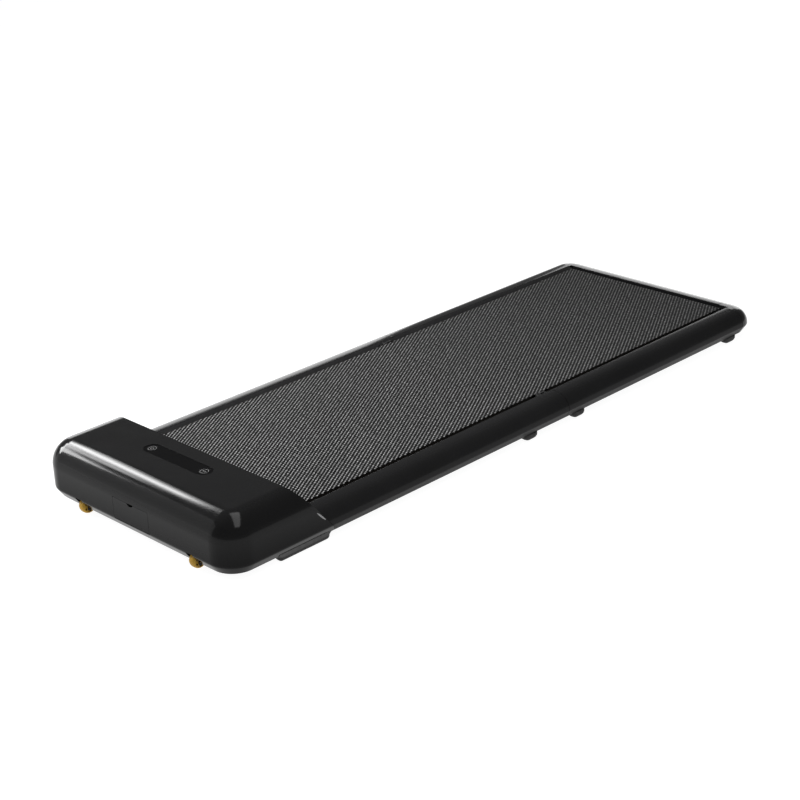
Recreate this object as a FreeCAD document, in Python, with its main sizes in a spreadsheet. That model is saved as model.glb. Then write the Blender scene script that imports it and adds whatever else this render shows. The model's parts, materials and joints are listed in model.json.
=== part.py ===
import FreeCAD, Part
import math
import os
import Sketcher

# A folding walking pad: motor hood at the front (-Y), two decks joined by a two-axis fold hinge, belt on top.
# +Z is up, +Y points to the rear end, the origin is under the middle on the floor. Sizes are in millimetres.

doc = FreeCAD.newDocument("walking_pad")
V = FreeCAD.Vector

# ---------------------------------------------------------------- sizes
SIZES = [
    # whole pad
    ("half_len", 725), ("half_wid", 259), ("base_z", 14),
    # side rails
    ("rail_top", 62), ("rail_in", 214.5), ("rail_rad", 31), ("rail_wall", 2.5), ("lip_z", 50), ("flange_x", 222),
    ("bevel_in", 11), ("bevel_up", 16),
    # motor hood
    ("hood_top", 116), ("hood_rad", 46), ("hood_corner", 53), ("hood_wall", 3), ("hood_back", -480),
    ("rake_y", -568), ("rake_k", 0.79), ("rake_wall", 3.8), ("seam_gap", 0.6), ("wall_low", 63.5),
    # display strip and keys
    ("disp_hx", 86.5), ("disp_y0", -632.5), ("disp_y1", -599.5), ("key_x", 71), ("key_y", -616), ("key_rad", 9),
    # hatch, inlet and switch
    ("hatch_hx", 48), ("hatch_z0", 31.4), ("hatch_z1", 71), ("hatch_t", 2.5), ("pivot_y", -722.9), ("pivot_z", 32.8),
    ("panel_y0", -720.5), ("panel_y1", -696), ("panel_t", 2.5),
    ("inlet_x", 21), ("inlet_z", 51), ("switch_x", -22),
    # drive
    ("motor_y", -652), ("motor_z", 62), ("motor_rad", 30), ("pul_small", 7), ("pul_big", 19), ("band_t", 2),
    # rollers and belt
    ("roll_y0", -590), ("roll_y1", 668), ("axis_z", 40), ("roll_rad", 18.5), ("roll_hx", 204), ("shaft_rad", 6),
    ("belt_hx", 202), ("belt_gap", 0.1), ("belt_t", 1.8),
    # fold hinge
    ("fold_y0", 84), ("fold_y1", 100), ("fold_z", 57), ("link_rad", 4.5), ("pin_rad", 2.5), ("run_gap", 0.05),
    ("link_x0", 204.5), ("link_x1", 208.5), ("brk_x0", 209), ("tube_x0", 213), ("tube_x1", 238.5),
    ("seam_front", 113), ("seam_rear", 114),
    # frame and decks
    ("tube_z0", 16.5), ("tube_z1", 48), ("tube_t", 2), ("cross_z0", 24), ("cross_z1", 42), ("cross_wid", 30),
    ("deck_z0", 46.4), ("deck_z1", 58.4), ("deck_y0", -562), ("deck_y1", 73), ("deck_y2", 111), ("deck_y3", 641),
    # tail
    ("tail_corner", 48), ("tail_y", 685), ("cap_y", 677.5), ("tail_hx", 190), ("tail_wall", 2.5),
    # wheels and feet
    ("wheel_x", 153), ("wheel_y", -708), ("wheel_rad", 14.5), ("wheel_hw", 8), ("axle_rad", 4),
    ("foot_x0", 229), ("foot_x1", 249), ("foot_rad", 7.5),
]
sheet = doc.addObject("Spreadsheet::Sheet", "dims")
for i, (name, value) in enumerate(SIZES, 1):
    sheet.set("A%d" % i, name)
    sheet.set("B%d" % i, str(value))
    sheet.setAlias("B%d" % i, name)
doc.recompute()


class Q:
    """A size: its number now, and the words that bind it to the sheet."""

    def __init__(self, v, t):
        self.v, self.t = float(v), t

    def __add__(self, o):
        o = q(o)
        return Q(self.v + o.v, "(%s + %s)" % (self.t, o.t))

    def __sub__(self, o):
        o = q(o)
        return Q(self.v - o.v, "(%s - %s)" % (self.t, o.t))

    def __mul__(self, o):
        o = q(o)
        return Q(self.v * o.v, "(%s * %s)" % (self.t, o.t))

    def __truediv__(self, o):
        o = q(o)
        return Q(self.v / o.v, "(%s / %s)" % (self.t, o.t))

    def __radd__(self, o):
        return q(o) + self

    def __rsub__(self, o):
        return q(o) - self

    def __rmul__(self, o):
        return q(o) * self

    def __neg__(self):
        return Q(-self.v, "(0 - %s)" % self.t)


def q(o):
    return o if isinstance(o, Q) else Q(o, "(%.6f)" % o if o < 0 else "%.6f" % o)


def root(o):
    return Q(math.sqrt(o.v), "sqrt(%s)" % o.t)


class D:
    pass


d = D()
for name, value in SIZES:
    setattr(d, name, Q(value, "dims." + name))

NODES = {}
count = [0]


def uid(stem):
    count[0] += 1
    return "%s_%d" % (stem, count[0])


def place(o, x, y, z):
    for axis, e in zip("xyz", (x, y, z)):
        e = q(e)
        setattr(o.Placement.Base, axis, e.v)
        o.setExpression("Placement.Base." + axis, e.t)


def box(x0, x1, y0, y1, z0, z1):
    o = doc.addObject("Part::Box", uid("block"))
    for prop, a, b in (("Length", x0, x1), ("Width", y0, y1), ("Height", z0, z1)):
        o.setExpression(prop, (q(b) - q(a)).t)
    place(o, x0, y0, z0)
    return o


def cyl(axis, c0, c1, r, lo, hi):
    """Round bar along an axis: c0 and c1 are its centre on the other two axes, in x, y, z order."""
    o = doc.addObject("Part::Cylinder", uid("round"))
    o.setExpression("Radius", q(r).t)
    o.setExpression("Height", (q(hi) - q(lo)).t)
    if axis == "x":
        o.Placement = FreeCAD.Placement(V(0, 0, 0), FreeCAD.Rotation(0.5, 0.5, 0.5, 0.5))
        place(o, lo, c0, c1)
    elif axis == "y":
        o.Placement = FreeCAD.Placement(V(0, 0, 0), FreeCAD.Rotation(V(1, 0, 0), -90))
        place(o, c0, lo, c1)
    else:
        place(o, c0, c1, lo)
    return o


def draw(sk, pts):
    """Closed outline. A point is (u, v), or (u, v, cu, cv, ccw) where an arc about (cu, cv) runs to the next point."""
    n = len(pts)
    ends = []
    for i, p in enumerate(pts):
        a, b = p, pts[(i + 1) % n]
        A, B = V(q(a[0]).v, q(a[1]).v, 0), V(q(b[0]).v, q(b[1]).v, 0)
        if len(p) == 2:
            g = sk.addGeometry(Part.LineSegment(A, B), False)
            ends.append((g, 1, 2))
        else:
            C, ccw = V(q(p[2]).v, q(p[3]).v, 0), p[4]
            s, e = (A, B) if ccw else (B, A)
            a0 = math.atan2(s.y - C.y, s.x - C.x)
            a1 = math.atan2(e.y - C.y, e.x - C.x)
            if a1 <= a0:
                a1 += 2 * math.pi
            g = sk.addGeometry(Part.ArcOfCircle(Part.Circle(C, V(0, 0, 1), (s - C).Length), a0, a1), False)
            ends.append((g, 1, 2) if ccw else (g, 2, 1))
    for i in range(n):
        g0, g1 = ends[i], ends[(i + 1) % n]
        sk.addConstraint(Sketcher.Constraint("Coincident", g0[0], g0[2], g1[0], g1[1]))
    for i, p in enumerate(pts):
        g = ends[i]
        todo = [("DistanceX", g[1], p[0]), ("DistanceY", g[1], p[1])]
        if len(p) > 2:
            b = pts[(i + 1) % n]
            du, dv = q(b[0]).v - q(p[0]).v, q(b[1]).v - q(p[1]).v
            todo.append(("DistanceX", 3, p[2]) if abs(dv) > abs(du) else ("DistanceY", 3, p[3]))
        for kind, at, e in todo:
            e = q(e)
            k = sk.addConstraint(Sketcher.Constraint(kind, -1, 1, g[0], at, e.v))
            sk.setExpression("Constraints[%d]" % k, e.t)


def prism(axis, pts, lo, hi):
    """Outline pushed along an axis: (y, z) points along x, (x, z) along y, (x, y) along z."""
    sk = doc.addObject("Sketcher::SketchObject", uid("outline"))
    if axis == "x":
        sk.Placement = FreeCAD.Placement(V(0, 0, 0), FreeCAD.Rotation(0.5, 0.5, 0.5, 0.5))
        way = V(1, 0, 0)
    elif axis == "y":
        sk.Placement = FreeCAD.Placement(V(0, 0, 0), FreeCAD.Rotation(V(1, 0, 0), 90))
        way = V(0, 1, 0)
    else:
        way = V(0, 0, 1)
    draw(sk, pts)
    place(sk, *[lo if a == axis else 0 for a in "xyz"])
    o = doc.addObject("Part::Extrusion", uid("pushed"))
    o.Base, o.DirMode, o.Dir, o.Solid = sk, "Custom", way, True
    o.setExpression("LengthFwd", (q(hi) - q(lo)).t)
    return o


def cut(a, *tools):
    for t in tools:
        o = doc.addObject("Part::Cut", uid("cut"))
        o.Base, o.Tool = a, t
        a = o
    return a


def join(*parts):
    o = doc.addObject("Part::MultiFuse", uid("joined"))
    o.Shapes, o.Refine = list(parts), True
    return o


def common(a, b):
    o = doc.addObject("Part::Common", uid("common"))
    o.Base, o.Tool = a, b
    return o


def flip(a):
    o = doc.addObject("Part::Mirroring", uid("mirrored"))
    o.Source, o.Base, o.Normal = a, V(0, 0, 0), V(1, 0, 0)
    return o


def group(*parts):
    o = doc.addObject("Part::Compound", uid("set"))
    o.Links = list(parts)
    return o


def node(label, o):
    o.Label = label
    NODES[label] = o
    return o


def slab(name, pts, lo, hi, top_rad, bevel_in, bevel_up, rounded):
    """Body with a plan outline, a rounding along its top edges and a bevel along its lower ones.
    rounded says of an edge's middle point whether it takes them."""
    body = doc.addObject("PartDesign::Body", name)
    plane = [f for f in body.Origin.OriginFeatures if f.Role == "XY_Plane"][0]
    sk = body.newObject("Sketcher::SketchObject", name + "_plan")
    sk.AttachmentSupport, sk.MapMode = [(plane, "")], "FlatFace"
    sk.setExpression("AttachmentOffset.Base.z", q(lo).t)
    draw(sk, pts)
    pad = body.newObject("PartDesign::Pad", name + "_pad")
    pad.Profile = sk
    pad.setExpression("Length", (q(hi) - q(lo)).t)
    body.Tip = pad
    doc.recompute()

    def edges(z):
        out = []
        for i, e in enumerate(pad.Shape.Edges, 1):
            m = e.valueAt((e.FirstParameter + e.LastParameter) / 2)
            ends = [v.Point.z for v in e.Vertexes]
            if abs(m.z - z) < 1e-4 and all(abs(t - z) < 1e-4 for t in ends) and rounded(m):
                out.append("Edge%d" % i)
        return out

    top, low = edges(q(hi).v), edges(q(lo).v)
    f = body.newObject("PartDesign::Fillet", name + "_round")
    f.Base = (pad, top)
    f.setExpression("Radius", q(top_rad).t)
    body.Tip = f
    doc.recompute()
    lows = []
    for i, e in enumerate(f.Shape.Edges, 1):
        m = e.valueAt((e.FirstParameter + e.LastParameter) / 2)
        if all(abs(v.Point.z - q(lo).v) < 1e-4 for v in e.Vertexes) and abs(m.z - q(lo).v) < 1e-4 and rounded(m):
            lows.append("Edge%d" % i)
    c = body.newObject("PartDesign::Chamfer", name + "_bevel")
    c.Base = (f, lows)
    c.ChamferType = "Two distances"
    c.setExpression("Size", q(bevel_in).t)
    c.setExpression("Size2", q(bevel_up).t)
    body.Tip = c
    doc.recompute()
    foot = [v.Point for v in c.Shape.Vertexes if abs(v.Point.z - q(lo).v) < 1e-4]
    full = [v.Point for v in pad.Shape.Vertexes]
    inset = max(abs(p.x) for p in full) - max(abs(p.x) for p in foot)
    if abs(inset - q(bevel_in).v) > 0.01:
        c.FlipDirection = not c.FlipDirection
        doc.recompute()
    return body


# ---------------------------------------------------------------- motor hood
def hood_plan(ins):
    w, y0, r = d.half_wid - ins, -d.half_len + ins, d.hood_corner - ins
    return [
        (-w, d.hood_back), (-w, y0 + r, -w + r, y0 + r, True), (-w + r, y0), (w - r, y0, w - r, y0 + r, True),
        (w, y0 + r), (w, d.hood_back),
    ]


def hood_edge(m):
    return m.y < d.hood_back.v - 1


def behind_rake(shift, z0, z1):
    """Everything behind the hood's raked rear plane, moved along y by shift."""
    a = d.rake_y + shift
    return prism(
        "x",
        [
            (a + d.rake_k * (d.hood_top - z0), z0), (-300, z0), (-300, z1), (a + d.rake_k * (d.hood_top - z1), z1),
        ],
        -300, 300,
    )


outer = slab("hood_outside", hood_plan(0), d.base_z, d.hood_top, d.hood_rad, d.bevel_in, d.bevel_up, hood_edge)
inner = slab(
    "hood_inside", hood_plan(d.hood_wall), d.base_z, d.hood_top - d.hood_wall, d.hood_rad - d.hood_wall, d.bevel_in,
    d.bevel_up, hood_edge,
)
shell = cut(outer, behind_rake(0, 0, 140))
shell = cut(shell, cut(inner, behind_rake(-d.rake_wall, -1, 141)))
low_way = common(inner, box(-300, 300, -600, -470, 0, d.wall_low))
shell = cut(shell, low_way)


def stadium(ins):
    r = (d.disp_y1 - d.disp_y0) / 2 - ins
    cx, cy = d.disp_hx - ins - r, (d.disp_y1 + d.disp_y0) / 2
    return [
        (-cx, cy - r), (cx, cy - r, cx, cy, True), (cx, cy + r), (-cx, cy + r, -cx, cy, True),
    ]


hatch_hole = box(-d.hatch_hx - 0.5, d.hatch_hx + 0.5, -730, -719, 30, d.hatch_z1 + 0.5)
pivot_hole = cyl("x", d.pivot_y, d.pivot_z, 1.05, -d.hatch_hx - 3, d.hatch_hx + 3)
wheel_way = box(d.wheel_x - 12, d.wheel_x + 12, -730, -690, 0, 31)
node(
    "hood_cover",
    cut(shell, prism("z", stadium(0), 108, 120), hatch_hole, pivot_hole, wheel_way, flip(wheel_way)),
)

# underside of the motor bay and the steel tray on it
pan_y, pan_r, pan_x = q(-710.5), q(38.5), q(244.5)
pan = prism(
    "z",
    [
        (-pan_x, -490), (-pan_x, pan_y + pan_r, -pan_x + pan_r, pan_y + pan_r, True), (-pan_x + pan_r, pan_y),
        (pan_x - pan_r, pan_y, pan_x - pan_r, pan_y + pan_r, True), (pan_x, pan_y + pan_r), (pan_x, -490),
    ],
    d.base_z, d.tube_z0,
)
pan_way = box(d.wheel_x - 12, d.wheel_x + 12, -730, -689, 0, 31)
SCREWS = [(x, y) for x in (-200, -60, 60, 200) for y in (-680, -622)]
pan = cut(pan, pan_way, flip(pan_way))
base = box(-241, 241, -688, -614, 17, 19.5)
for x, y in SCREWS:
    pan = cut(pan, cyl("z", x, y, 2.1, 10, 30))
    base = cut(base, cyl("z", x, y, 2.1, 10, 30))
node("belly_pan", pan)
side = cut(box(d.tube_x1, 241, -688, -490, 17, 54), cyl("x", d.roll_y0, d.axis_z, d.shaft_rad + d.run_gap, 230, 250))
node("bay_tray", join(base, side, flip(side)))
node(
    "tray_screws",
    group(
        *[
            cut(
                join(cyl("z", x, y, 4, 12, d.base_z), cyl("z", x, y, 2, 13, 24)),
                box(x - 3, x + 3, y - 0.5, y + 0.5, 11, 12.8), box(x - 0.5, x + 0.5, y - 3, y + 3, 11, 12.8),
            )
            for x, y in SCREWS
        ]
    ),
)

# display strip, its module and the two keys
key_way = cyl("z", d.key_x, d.key_y, d.key_rad + 0.3, 100, 130)
node("display_window", cut(prism("z", stadium(0.3), d.hood_top - d.hood_wall, d.hood_top - 0.6), key_way, flip(key_way)))
key_pit = cyl("z", d.key_x, d.key_y, d.key_rad + 0.6, 111, 120)
module = box(-92, 92, d.disp_y0 - 4, d.disp_y1 + 4, 105, d.hood_top - d.hood_wall)
node("display_module", cut(module, key_pit, flip(key_pit)))
key = cyl("z", d.key_x, d.key_y, d.key_rad, 112, d.hood_top - 0.3)
key = cut(key, cut(cyl("z", d.key_x, d.key_y, 7.6, 115.4, 120), cyl("z", d.key_x, d.key_y, 6.8, 115, 121)))
node("button_right", key)
node("button_left", flip(key))

# hatch in the front wall, and what it hides
flap = box(-d.hatch_hx, d.hatch_hx, -d.half_len, -d.half_len + d.hatch_t, d.hatch_z0, d.hatch_z1)
flap = cut(flap, cyl("y", 0, d.hatch_z1 + 4, 9, -730, -715))
stub = cyl("x", d.pivot_y, d.pivot_z, 1.0, d.hatch_hx - 4, d.hatch_hx + 2.5)
node("hatch_flap", join(flap, stub, flip(stub)))
tub = cut(
    box(-d.hatch_hx - 3, d.hatch_hx + 3, d.panel_y0, d.panel_y1, 28.5, d.hatch_z1 + 3),
    box(-d.hatch_hx - 0.5, d.hatch_hx + 0.5, -730, d.panel_y1 - d.panel_t, 30.5, d.hatch_z1 + 0.5),
    box(d.inlet_x - 14.2, d.inlet_x + 14.2, -710, -690, d.inlet_z - 9.2, d.inlet_z + 9.2),
    box(d.switch_x - 13.2, d.switch_x + 13.2, -710, -690, d.inlet_z - 9.2, d.inlet_z + 9.2),
)
node("inlet_panel", tub)
back = d.panel_y1 - d.panel_t
inlet = join(
    box(d.inlet_x - 17, d.inlet_x + 17, back - 2, back, d.inlet_z - 12, d.inlet_z + 12),
    box(d.inlet_x - 14, d.inlet_x + 14, back - 1, -668, d.inlet_z - 9, d.inlet_z + 9),
)
inlet = cut(
    inlet,
    prism(
        "y",
        [
            (d.inlet_x - 12, d.inlet_z - 7), (d.inlet_x + 12, d.inlet_z - 7), (d.inlet_x + 12, d.inlet_z + 3),
            (d.inlet_x + 8, d.inlet_z + 7), (d.inlet_x - 8, d.inlet_z + 7), (d.inlet_x - 12, d.inlet_z + 3),
        ],
        back - 6, -684,
    ),
)
prongs = [
    box(d.inlet_x + x - 1, d.inlet_x + x + 1, -694, -683, d.inlet_z + z - 2, d.inlet_z + z + 2)
    for x, z in ((-7, -1.5), (7, -1.5), (0, 3))
]
node("power_inlet", join(inlet, *prongs))
frame = cut(
    join(
        box(d.switch_x - 16, d.switch_x + 16, back - 2, back, d.inlet_z - 12, d.inlet_z + 12),
        box(d.switch_x - 13, d.switch_x + 13, back - 1, -676, d.inlet_z - 9, d.inlet_z + 9),
    ),
    box(d.switch_x - 11, d.switch_x + 11, back - 6, -682, d.inlet_z - 7.6, d.inlet_z + 7.6),
)
rock_hole = cyl("x", -694, d.inlet_z, 1.55, d.switch_x - 12.5, d.switch_x + 12.5)
node("switch_housing", cut(frame, rock_hole))
rocker = prism("x", [(-8.5, -5.4), (-6.6, 0), (-8.5, 5.4), (2, 4.6), (6, 2), (6, -2), (2, -4.6)], -10.6, 10.6)
rocker = join(rocker, cyl("x", 0, 0, 1.5, -12.2, 12.2))
tip = doc.addObject("Part::Compound", "rocker_set")
tip.Links = [rocker]
tip.Placement = FreeCAD.Placement(V(d.switch_x.v, -694, d.inlet_z.v), FreeCAD.Rotation(V(1, 0, 0), 9))
tip.setExpression("Placement.Base.x", d.switch_x.t)
tip.setExpression("Placement.Base.z", d.inlet_z.t)
node("power_rocker", tip)

# ---------------------------------------------------------------- drive
my, mz = d.motor_y, d.motor_z
motor = join(
    cyl("x", my, mz, d.motor_rad, 62, 181), cyl("x", my, mz, d.motor_rad + 1.5, 60, 74),
    cyl("x", my, mz, d.motor_rad + 1.5, 168, 183), cyl("x", my, mz, 11, 180, 190),
)
motor = cut(motor, cyl("x", my, mz, 4.1, 66, 200), cyl("x", my, mz, 22.5, 76, 167))
for k in range(8):
    a = 2 * math.pi * (k + 0.5) / 8
    motor = cut(motor, cyl("x", my + 22 * math.cos(a), mz + 22 * math.sin(a), 3, 50, 65))
node("motor_body", motor)
plate = prism(
    "x",
    [
        (my - 36, 19.5), (my + 34, 19.5), (my + 34, mz, my, mz, True), (my - 34, mz), (my - 36, 30),
    ],
    183, 187,
)
plate = join(plate, box(152, 187, my - 36, my + 34, 19.5, 22.5))
node("motor_bracket", cut(plate, cyl("x", my, mz, 11.2, 170, 200), cyl("z", 200, -680, 6, 10, 30), cyl("z", 200, -622, 6, 10, 30)))
node(
    "motor_rotor",
    join(
        cyl("x", my, mz, 4, 70, 225), cyl("x", my, mz, 21.5, 79, 164), cyl("x", my, mz, d.pul_small, 206, 224), cyl("x", my, mz, 9.5, 205.5, 207.5),
        cyl("x", my, mz, 9.5, 222.5, 224.5),
    ),
)
ry, rz = d.roll_y0, d.axis_z
wheel = join(
    cyl("x", ry, rz, d.pul_big, 207, 223), cyl("x", ry, rz, 14, d.roll_hx, 208), cyl("x", ry, rz, 19.6, 206.4, 207.8),
    cyl("x", ry, rz, 19.6, 222.2, 223.6),
)
for k in range(4):
    groove = cut(cyl("x", ry, rz, 25, 210.2 + 3 * k, 211.2 + 3 * k), cyl("x", ry, rz, 18.2, 205, 226))
    wheel = cut(wheel, groove)
node("driven_pulley", cut(wheel, cyl("x", ry, rz, d.shaft_rad + 0.3, 200, 230)))


def loop(grow):
    """Solid between two pulleys and the band's tangents, grown outwards."""
    r1, r2 = d.pul_small + 0.2 + grow, d.pul_big + 0.2 + grow
    dy, dz = ry - my, rz - mz
    gap = root(dy * dy + dz * dz)
    uy, uz = dy / gap, dz / gap
    c = (r1 - r2) / gap
    s = root(1 - c * c)
    pts = []
    for sign in (1, -1):
        ny, nz = uy * c - uz * s * sign, uz * c + uy * s * sign
        pts.append(((my + r1 * ny, mz + r1 * nz), (ry + r2 * ny, rz + r2 * nz)))
    (a, b), (e, f) = pts
    return join(
        prism("x", [a, b, f, e], 209, 221), cyl("x", my, mz, r1, 209, 221), cyl("x", ry, rz, r2, 209, 221)
    )


node("drive_belt", cut(loop(d.band_t), loop(0)))
card = box(-205, -72, -684, -622, 40, 41.6)
parts = [box(-140, -120, -670, -650, 41, 62), box(-112, -80, -676, -640, 41, 58), cyl("z", -128, -634, 8, 41, 64)]
parts += [cyl("z", -109, -632, 6, 41, 60), box(-100, -84, -634, -627, 41, 52)]
parts += [cyl("z", x, y, 3, 19.5, 41) for x in (-188, -84) for y in (-670, -638)]
node("controller_board", join(card, *parts))
fins = box(-202, -146, -680, -626, 41.6, 70)
for k in range(7):
    fins = cut(fins, box(-198 + 7.6 * k, -193.4 + 7.6 * k, -690, -616, 46, 80))
node("heat_sink", fins)

# ---------------------------------------------------------------- rollers
def roller(y):
    tube = cut(cyl("x", y, rz, d.roll_rad, -d.roll_hx, d.roll_hx), cyl("x", y, rz, 15.5, -d.roll_hx - 5, d.roll_hx + 5))
    one = cut(cyl("x", y, rz, 15.5, 190, 202), cyl("x", y, rz, d.shaft_rad + d.run_gap, 180, 210))
    return tube, group(one, flip(one))


tube, pair = roller(d.roll_y0)
node("front_roller", tube)
node("front_roller_bearings", pair)
node("front_roller_shaft", cyl("x", ry, rz, d.shaft_rad, -241.5, 241.5))
tube, pair = roller(d.roll_y1)
node("rear_roller", tube)
node("rear_roller_bearings", pair)
bolt_x = q(225.5)
shaft = cyl("x", d.roll_y1, rz, d.shaft_rad, -236, 236)
for s in (1, -1):
    shaft = cut(shaft, cyl("y", bolt_x * s, rz, 4, d.roll_y1 - 20, d.roll_y1 + 20))
node("rear_roller_shaft", shaft)
bolt = join(cyl("y", bolt_x, rz, 3.95, 655, 702), cyl("y", bolt_x, rz, 6.5, 700, 707))
hexed = prism(
    "y",
    [(bolt_x + 3.2 * math.cos(a), rz + 3.2 * math.sin(a)) for a in [math.pi * k / 3 for k in range(6)]],
    703, 710,
)
bolt = cut(bolt, hexed)
node("tension_bolts", group(bolt, flip(bolt)))

# belt: the loop's front and rear halves, which meet between the two fold axes
ri, ro = d.roll_rad + d.belt_gap, d.roll_rad + d.belt_gap + d.belt_t
mid = (d.fold_y0 + d.fold_y1) / 2


def half_belt(yc, ym, ccw):
    return prism(
        "x",
        [
            (ym, rz + ro), (yc, rz + ro, yc, rz, ccw), (yc, rz - ro), (ym, rz - ro), (ym, rz - ri),
            (yc, rz - ri, yc, rz, not ccw), (yc, rz + ri), (ym, rz + ri),
        ],
        -d.belt_hx, d.belt_hx,
    )


node("belt_front", half_belt(d.roll_y0, mid - 0.1, True))
node("belt_rear", half_belt(d.roll_y1, mid + 0.1, False))

# ---------------------------------------------------------------- wheels
wx, wy, wr = d.wheel_x, d.wheel_y, d.wheel_rad
disc = cut(cyl("x", wy, wr, wr, wx - d.wheel_hw, wx + d.wheel_hw), cyl("x", wy, wr, d.axle_rad + d.run_gap, 130, 180))
for k in range(6):
    a = 2 * math.pi * k / 6
    pit = cyl("x", wy + 8.6 * math.cos(a), wr + 8.6 * math.sin(a), 2.6, wx + d.wheel_hw - 4, wx + d.wheel_hw + 2)
    disc = cut(disc, pit)
    pit = cyl("x", wy + 8.6 * math.cos(a), wr + 8.6 * math.sin(a), 2.6, wx - d.wheel_hw - 2, wx - d.wheel_hw + 4)
    disc = cut(disc, pit)
node("wheel_right", disc)
node("wheel_left", flip(disc))
axle = cyl("x", wy, wr, d.axle_rad, wx - 11.8, wx + 11.8)
node("wheel_axles", group(axle, flip(axle)))
ear = box(wx + 9, wx + 12, -714, -690, 9, 31)
ear2 = box(wx - 12, wx - 9, -714, -690, 9, 31)
fork = join(ear, ear2, box(wx - 12, wx + 12, -714, -690, 29.8, 31), box(wx - 12, wx + 12, -691.5, -689, 9, 31))
fork = cut(fork, cyl("x", wy, wr, d.axle_rad, 130, 180))
node("wheel_brackets", group(fork, flip(fork)))

# ---------------------------------------------------------------- side rails
W, T, R, t = d.half_wid, d.rail_top, d.rail_rad, d.rail_wall
zb, bz = d.base_z, d.base_z + d.bevel_up


def rail(y0, y1):
    return prism(
        "y",
        [
            (d.rail_in, d.lip_z), (d.rail_in + t, d.lip_z), (d.rail_in + t, T - t),
            (W - R, T - t, W - R, T - R, False), (W - t, T - R), (W - t, bz), (W - t - d.bevel_in * (bz - zb - t) / d.bevel_up, zb + t),
            (d.flange_x, zb + t), (d.flange_x, zb), (W - d.bevel_in, zb), (W, bz), (W, T - R, W - R, T - R, True),
            (W - R, T), (d.rail_in, T),
        ],
        y0, y1,
    )


front_of_rake = prism(
    "x",
    [
        (-600, 0), (d.rake_y + d.rake_k * d.hood_top + d.seam_gap, 0),
        (d.rake_y + d.rake_k * (d.hood_top - 80) + d.seam_gap, 80), (-600, 80),
    ],
    -300, 300,
)
front_rail = cut(rail(-560, d.seam_front), front_of_rake)
node("front_rail_right", front_rail)
node("front_rail_left", flip(front_rail))
rear_rail = rail(d.seam_rear, d.cap_y - 0.5)
node("rear_rail_right", rear_rail)
node("rear_rail_left", flip(rear_rail))

# ---------------------------------------------------------------- frame inside the rails
def side_tube(y0, y1, open0, open1):
    a = box(d.tube_x0, d.tube_x1, y0, y1, d.tube_z0, d.tube_z1)
    return cut(
        a,
        box(
            d.tube_x0 + d.tube_t, d.tube_x1 - d.tube_t, y0 - 5 if open0 else y0 + 3, y1 + 5 if open1 else y1 - 3,
            d.tube_z0 + d.tube_t, d.tube_z1 - d.tube_t,
        ),
    )


one = side_tube(q(-545), q(100), True, True)
node("front_side_tubes", group(one, flip(one)))
one = side_tube(q(125), q(692), True, False)
one = cut(
    one, box(205, 245, d.roll_y1 - 9, d.roll_y1 + 9, rz - d.shaft_rad - 0.1, rz + d.shaft_rad + 0.1),
    cyl("y", bolt_x, rz, 4.05, 680, 700),
)
node("rear_side_tubes", group(one, flip(one)))


def cross(y, hx=d.tube_x0):
    h = d.cross_wid / 2
    a = box(-hx, hx, y - h, y + h, d.cross_z0, d.cross_z1)
    return cut(a, box(-hx - 5, hx + 5, y - h + 2, y + h - 2, d.cross_z0 + 2, d.cross_z1 - 2))


def buffers(y):
    return [cyl("z", x, y, 11, d.cross_z1, d.deck_z0) for x in (-150, 0, 150)]


node("front_cross_tubes", group(cross(-480), cross(-220), cross(30, d.brk_x0)))
node("front_deck_cushions", group(*[b for y in (-480, -220, 30) for b in buffers(y)]))
node("rear_cross_tubes", group(cross(170, d.brk_x0), cross(390), cross(610)))
node("rear_deck_cushions", group(*[b for y in (170, 390, 610) for b in buffers(y)]))
node("front_deck", box(-d.belt_hx, d.belt_hx, d.deck_y0, d.deck_y1, d.deck_z0, d.deck_z1))
node("rear_deck", box(-d.belt_hx, d.belt_hx, d.deck_y2, d.deck_y3, d.deck_z0, d.deck_z1))


def under(y0, y1):
    a = box(-d.flange_x + 0.5, d.flange_x - 0.5, y0, y1, zb, d.tube_z0)
    for x in (-140, -70, 0, 70, 140):
        a = cut(
            a,
            prism(
                "x",
                [(y0 + 15, zb - 1), (y1 - 15, zb - 1), (y1 - 15, zb + 0.8), (y0 + 15, zb + 0.8)],
                x - 4, x + 4,
            ),
        )
    return a


node("front_belly_plate", under(q(-489), q(79)))
node("rear_belly_plate", under(q(105), q(705)))

# ---------------------------------------------------------------- fold hinge
f0, f1, fz, lr = d.fold_y0, d.fold_y1, d.fold_z, d.link_rad
link = prism(
    "x",
    [
        (f0, fz - lr), (f1, fz - lr, f1, fz, True), (f1, fz + lr), (f0, fz + lr, f0, fz, True),
    ],
    d.link_x0, d.link_x1,
)
link = cut(
    link, cyl("x", f0, fz, d.pin_rad + d.run_gap, 200, 220), cyl("x", f1, fz, d.pin_rad + d.run_gap, 200, 220)
)
node("hinge_link_right", link)
node("hinge_link_left", flip(link))
node(
    "link_cross_bar",
    join(
        box(-d.link_x0, d.link_x0, mid - 3.2, mid + 3.2, fz - 5, 57.8),
        box(-d.belt_hx, d.belt_hx, mid - 5, mid + 5, fz - 7, 57.8),
    ),
)


def bracket(fy, far):
    if far.v < fy.v:
        ends = [
            (far, 24), (fy - 30, 26), (fy, fz - lr, fy, fz, True), (fy, fz + lr), (fy - 30, 50), (far, 47),
        ]
    else:
        ends = [
            (far, 24), (far, 47), (fy + 30, 50), (fy, fz + lr, fy, fz, True), (fy, fz - lr), (fy + 30, 26),
        ]
    a = prism("x", ends, d.brk_x0, d.tube_x0)
    a = join(
        a, cyl("x", fy, fz, d.pin_rad, d.link_x0 - 1.5, d.brk_x0 + 1), cyl("x", fy, fz, 4, d.link_x0 - 1.5, d.link_x0 - 0.2)
    )
    return group(a, flip(a))


node("front_hinge_brackets", bracket(d.fold_y0, q(-10)))
node("rear_hinge_brackets", bracket(d.fold_y1, q(194)))

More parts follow.
